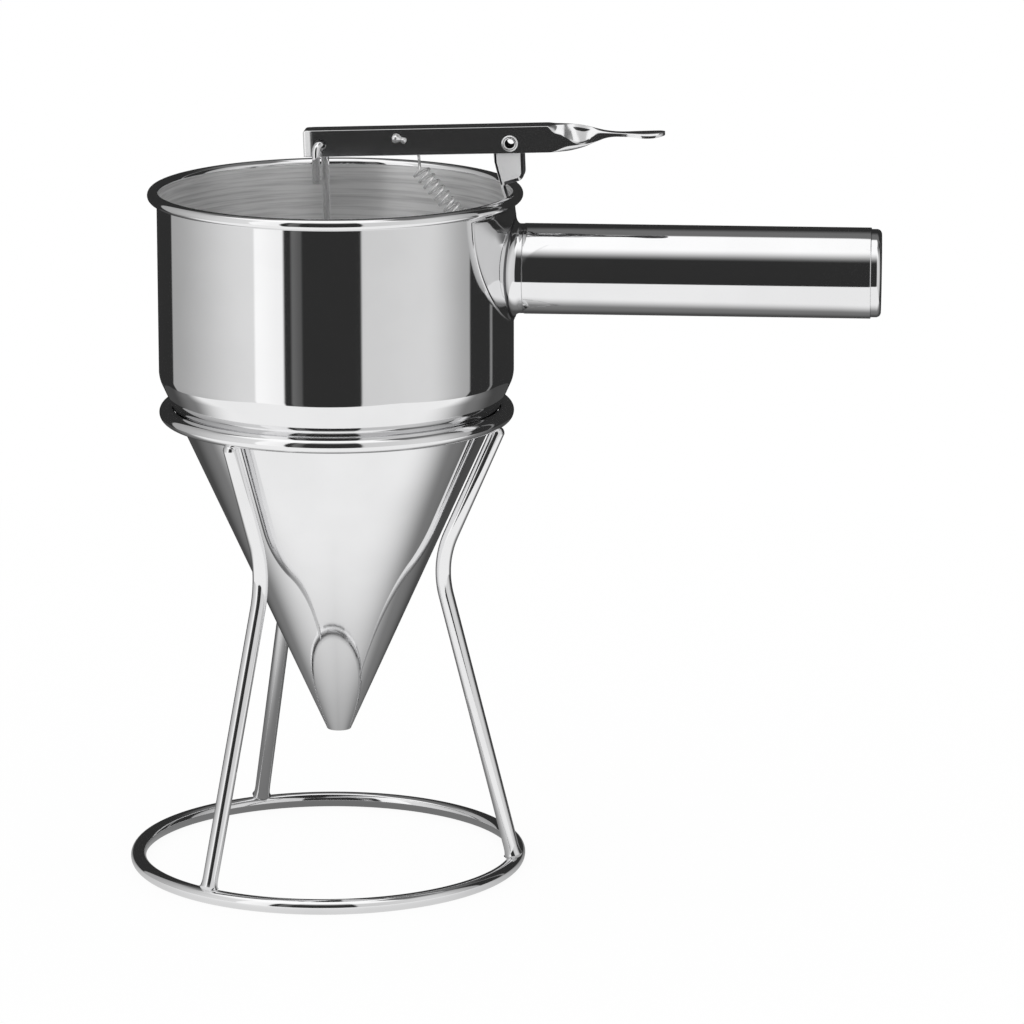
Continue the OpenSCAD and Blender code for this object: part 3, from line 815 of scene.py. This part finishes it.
def make_lever():
    end = -LEVER_REACH
    corner = LEVER_ROWS[0][4]
    rows = []
    for out, half in LEVER_END:
        sunk = 1.0 - math.sqrt(1 - max(0, 1 - out) ** 2)
        rows.append((end + out, half, LEVER_TOP - sunk, LEVER_H - sunk, corner, corner, 0.03))
    first, last = rows[-1][0], LEVER_ROWS[0][0]
    rows += [(first + (last - first) * i / 8,) + LEVER_ROWS[0][1:] for i in range(1, 8)]
    rows += smooth_rows(LEVER_ROWS, 0.6)
    bm = bmesh.new()
    outside = lever_shell(bm, rows, 0)
    inside = lever_shell(bm, rows, LEVER_T * 0.9)
    bmesh.ops.bridge_loops(bm, edges=outside + inside)
    wall = -(LEVER_HALF - LEVER_T / 2)
    holes = [
        (at_lever(*HOOK_AT, wall), HOOK_HOLE_R, 2.5 * LEVER_T),
        (PIVOT, 2.06, 3 * LEVER_HALF),
        (at_lever(*PIN_AT), PIN_R + 0.02, 3 * LEVER_HALF),
    ]
    piece("lever_arm", bm, "lever", [lever_steel], ["lever"], 40, holes=holes)


def edges_between(bm, verts):
    """The edges that join the vertices in their order, made where there are none."""
    made = []
    for a, b in zip(verts, verts[1:]):
        made.append(bm.edges.get((a, b)) or bm.edges.new((a, b)))
    return made


def make_pin():
    back, front = LEVER_HALF + 0.8, -LEVER_HALF - 0.9
    along, up = PIN_AT
    bm = bmesh.new()
    sweep(bm, [at_lever(along, up, back), at_lever(along, up, front)], PIN_R, 24,
          round_ends=(0.5, 0.5))
    knob = [(-1.75, 0.42), (-1.6, 0.4), (-1.15, 0.32), (-0.45, 0.2), (0.25, 0.05), (0.85, -0.12),
            (1.3, -0.28), (1.8, -0.5), (2.3, -0.72), (2.8, -0.95), (3.1, -1.08)]
    path = [at_lever(along + a, up + u, front - 0.1) for a, u in knob]
    sweep(bm, path, PIN_R, 24, (0.4, 0.9, 1.28, 1.42, 1.25, 0.8, 0.6, 0.7, 0.85, 0.7, 0.3),
          round_ends=(0.3, 0.3))
    piece("spring_pin_wire", bm, "lever", [rivet_metal], ["spring_pin"], 60)


# ---- stopper rod ----


def make_rod():
    path = bent(ROD_PATH[:4], ROD_BEND, 16) + [Vector(ROD_PATH[4])]
    bm = bmesh.new()
    sweep(bm, path, ROD_R, 32, round_ends=(0.3, 0.2))
    piece("rod", bm, "rod", [wire_steel], ["plunger_rod"], 60)
    across = SHEET / math.cos(CONE_ANGLE) + 0.3 / math.cos(CONE_ANGLE)
    low, high = TIP_Z + 2, TIP_Z + 12

    def plug_r(z):
        return TIP_R + (z - TIP_Z) * SLOPE - across

    neck = ROD_R + 1.2
    profile = [
        (0, low), (plug_r(low) - 0.3, low), (plug_r(low + 0.3), low + 0.3),
        (plug_r(high - 1), high - 1), (plug_r(high - 1) - 0.35, high - 0.4),
        (plug_r(high - 1) - 1, high), (neck + 1, high + 1.5), (neck + 0.3, high + 2),
        (neck, high + 2.6), (neck, high + 3.7), (neck - 0.3, high + 4), (ROD_R + 0.02, high + 4),
        (ROD_R + 0.02, 55.08), (0, 55.08),
    ]
    piece("plug", turn_about(profile, "Z", 96, closed=False), "rod",
          [rivet_metal], ["plunger_plug"], 35)


# ---- spring ----


def spring_path():
    """The spring's wire: lower eye, curls, straight hook and the eye round the pin."""
    along = Vector((-0.654, 0, 0.757)).normalized()
    across = Vector((along.z, 0, -along.x))
    low_r, high_r, curl_r = 2.6, PIN_R + SPRING_R + 0.15, 2.75
    start, end, curls, per_curl = 5.5, 40.9, 13.25, 28

    def at(a, p, q):
        return SPRING_LOW + along * a + across * p + Y * q

    def eye(place, radius, t):
        t = math.radians(t)
        return at(place + radius * math.cos(t), radius * math.sin(t), 0)

    def eye_way(t):
        t = math.radians(t)
        return across * math.cos(t) - along * math.sin(t)

    def coil(i):
        t = math.pi + 2 * math.pi * i / per_curl
        share = i / (curls * per_curl)
        return at(start + (end - start) * share, curl_r * math.cos(t), curl_r * math.sin(t))

    def run(a, u, b, w, steps):
        pull = (b - a).length * 0.8
        points = []
        for i in range(1, steps):
            t = i / steps
            points.append(a * (2 * t**3 - 3 * t**2 + 1) + u * pull * (t**3 - 2 * t**2 + t)
                          + b * (3 * t**2 - 2 * t**3) + w * pull * (t**3 - t**2))
        return points

    def on_pin(t):
        t = math.radians(t)
        return SPRING_HIGH + high_r * (X * math.cos(t) + Z * math.sin(t))

    last = round(curls * per_curl)
    neck = Vector((29.7, -0.4, 257.2))
    path = [eye(0, low_r, 40) - eye_way(40)]
    path += [eye(0, low_r, 40 + 13 * i) for i in range(21)]
    path += run(eye(0, low_r, 300), eye_way(300), coil(0), -Y, 12)
    path += [coil(i) for i in range(last + 1)]
    path += run(coil(last), (across + Z * 0.8).normalized(), neck, Z, 10) + [neck]
    path += run(neck, Z, on_pin(40), (Z - X).normalized(), 14)
    path += [on_pin(40 + 13 * i) for i in range(19)]
    return path, at(3, 0, 0), neck


def make_spring():
    path, start, end = spring_path()
    bm = bmesh.new()
    sweep(bm, path, SPRING_R, 14, round_ends=(0.4, 0.4))
    blend = ("funnel", "lever", tuple(start * MM), tuple(end * MM))
    piece("spring", bm, "funnel", [spring_metal], ["return_spring"], 60,
          blend=blend)


# ---- floor, light and camera ----


def make_floor():
    bm = bmesh.new()
    bmesh.ops.create_circle(bm, cap_ends=True, segments=128, radius=TABLE_R)
    mesh = bpy.data.meshes.new("table")
    bm.to_mesh(mesh)
    bm.free()
    table = bpy.data.objects.new("table", mesh)
    bpy.context.scene.collection.objects.link(table)
    material, start = new_material("white_table")
    seen = start.node("ShaderNodeLightPath", output="Is Camera Ray")
    mirrored = start.node("ShaderNodeLightPath", output="Is Glossy Ray")
    place = place_of(start)
    across, depth = (
        start.node("ShaderNodeSeparateXYZ", (), {0: place}, output=axis) for axis in "XY"
    )
    aside = start.math("ABSOLUTE", across)
    within = ((1.0 - aside.between(TABLE_SIDE - TABLE_EDGE, TABLE_SIDE + TABLE_EDGE))
              * depth.between(TABLE_NEAR - TABLE_EDGE, TABLE_NEAR + TABLE_EDGE))
    behind = depth - aside * TABLE_FAN
    lit = (1.0 - behind.between(*LIT_ENDS)) * TABLE_LIT
    shaded = (1.0 - behind.between(*SHADED_ENDS)) * TABLE_SHADED
    shade = lit + shaded + TABLE_BACK
    matt = start.node("ShaderNodeBsdfDiffuse", (), {"Color": (0.8, 0.8, 0.8, 1)})
    white = start.node("ShaderNodeEmission", (), {"Strength": 1.03})
    glow = start.node("ShaderNodeEmission", (), {"Color": shade, "Strength": 1.0})
    through = start.node("ShaderNodeBsdfTransparent")
    glow = start.node("ShaderNodeMixShader", (), {0: within, 1: through, 2: glow})
    face = start.node("ShaderNodeMixShader", (), {0: seen * 0.9, 1: matt, 2: white})
    face = start.node("ShaderNodeMixShader", (), {0: mirrored, 1: face, 2: glow})
    start.node("ShaderNodeOutputMaterial", (), {"Surface": face})
    mesh.materials.append(material)


# The table, in metres: its radius, and how far to the sides and to the front the steel
# mirrors it, with the softness of its edge
TABLE_R = 0.6
TABLE_SIDE, TABLE_NEAR, TABLE_EDGE = 0.45, -0.465, 0.01

# The table as the steel mirrors it: lit in front of the object, dim under and behind it.
# Each light falls off between two places from front to back, and sooner at the sides
TABLE_LIT, TABLE_SHADED, TABLE_BACK = 0.75, 0.14, 0.07
LIT_ENDS, SHADED_ENDS = (-0.12, 0.02), (0.0, 0.2)
TABLE_FAN = 0.3

# The studio as the steel mirrors it: black cloth with light panels standing in front of it.
# Each panel has its left and right side, by the turn in degrees from the camera toward the
# handle, and how light it is at each
CLOTH = 0.03
PANELS = {
    "softbox_left": (-130, -52, 0.4, 0.8),
    "strip_left": (-52, -32, 1.1, 1.0),
    "slit_front": (-27, -20, 0.15, 0.1),
    "softbox_right": (18, 62, 0.7, 0.75),
    "fill_right": (62, 98, 0.75, 0.42),
    "slit_right": (120, 123, 0.25, 0.25),
}
PANEL_EDGE = 1.0

# The light overhead, and its canopy, which comes lower over the left, the front and the
# right; the heights at which each starts and is full, in degrees
OVERHEAD = 1.15
OVERHEAD_FROM = (70.0, 75.0)
CANOPY = (-100, 55)
CANOPY_FROM = (36.0, 56.0)
FRONT = (-20, 18)
FRONT_FROM = (34.0, 66.0)
UPPER_CLOTH = 0.17


def make_world():
    world = bpy.data.worlds.new("studio")
    bpy.context.scene.world = world
    world.use_nodes = True
    world.node_tree.nodes.clear()
    start = Wire(world.node_tree)
    seen = start.node("ShaderNodeLightPath", output="Is Camera Ray")
    mirrored = start.node("ShaderNodeLightPath", output="Is Glossy Ray")
    way = start.node("ShaderNodeTexCoord", output="Generated")
    dx, dy, dz = (
        start.node("ShaderNodeSeparateXYZ", (), {0: way}, output=axis) for axis in "XYZ"
    )
    turn = start.math("ARCTAN2", dx, -dy) * (180 / math.pi) - AZIMUTH
    turn = start.math("WRAP", turn, 180.0, -180.0)
    height = start.math("ARCSINE", dz) * (180 / math.pi)

    def inside(left, right):
        return (turn.between(left - PANEL_EDGE, left + PANEL_EDGE)
                * (1.0 - turn.between(right - PANEL_EDGE, right + PANEL_EDGE)))

    def toward(shade, level, share):
        return shade + (level - shade) * share

    room = CLOTH
    for left, right, at_left, at_right in PANELS.values():
        level = turn.between(left, right) * (at_right - at_left) + (at_left - CLOTH)
        room = inside(left, right) * level + room
    facing = inside(*FRONT)
    canopy = inside(*CANOPY)
    rising = height.between(*CANOPY_FROM)
    room = toward(room, UPPER_CLOTH, rising * (1.0 - canopy))
    room = toward(room, OVERHEAD, rising * canopy * (1.0 - facing))
    room = toward(room, OVERHEAD, height.between(*FRONT_FROM) * facing)
    room = toward(room, OVERHEAD, height.between(*OVERHEAD_FROM))
    sky = start.node("ShaderNodeBackground", (), {"Color": room, "Strength": 1.0})
    white = start.node("ShaderNodeBackground", (), {"Color": (1, 1, 1, 1), "Strength": 1.0})
    soft = start.node("ShaderNodeBackground", (), {"Color": (1, 1, 1, 1), "Strength": 0.9})
    shown = start.node("ShaderNodeMixShader", (), {0: mirrored, 1: soft, 2: sky})
    shown = start.node("ShaderNodeMixShader", (), {0: seen, 1: shown, 2: white})
    start.node("ShaderNodeOutputWorld", (), {"Surface": shown})


# The camera's direction in degrees, its place in metres, and its focal length in pixels of
# the picture's width
AZIMUTH, ELEVATION = 4.377, 13.078
CAMERA_AT = (0.2114655, -1.946333, 0.583378)
FOCAL, PICTURE, SENSOR = 5623.2, 1024, 36


def make_camera():
    a, e = math.radians(AZIMUTH), math.radians(ELEVATION)
    back = Vector((math.sin(a) * math.cos(e), -math.cos(a) * math.cos(e), math.sin(e)))
    data = bpy.data.cameras.new("camera")
    data.sensor_width = SENSOR
    data.lens = SENSOR * FOCAL / PICTURE
    data.clip_start, data.clip_end = 0.1, 20
    camera = bpy.data.objects.new("camera", data)
    camera.rotation_mode = "QUATERNION"
    camera.location = CAMERA_AT
    camera.rotation_quaternion = (-back).to_track_quat("-Z", "Y")
    bpy.context.scene.collection.objects.link(camera)
    bpy.context.scene.camera = camera


make_camera()
make_stand()
make_funnel()
make_saddle()
make_handle()
make_bracket()
make_rivet()
make_lever()
make_pin()
make_rod()
make_spring()
make_floor()
make_world()
bpy.context.scene.view_settings.view_transform = "Standard"
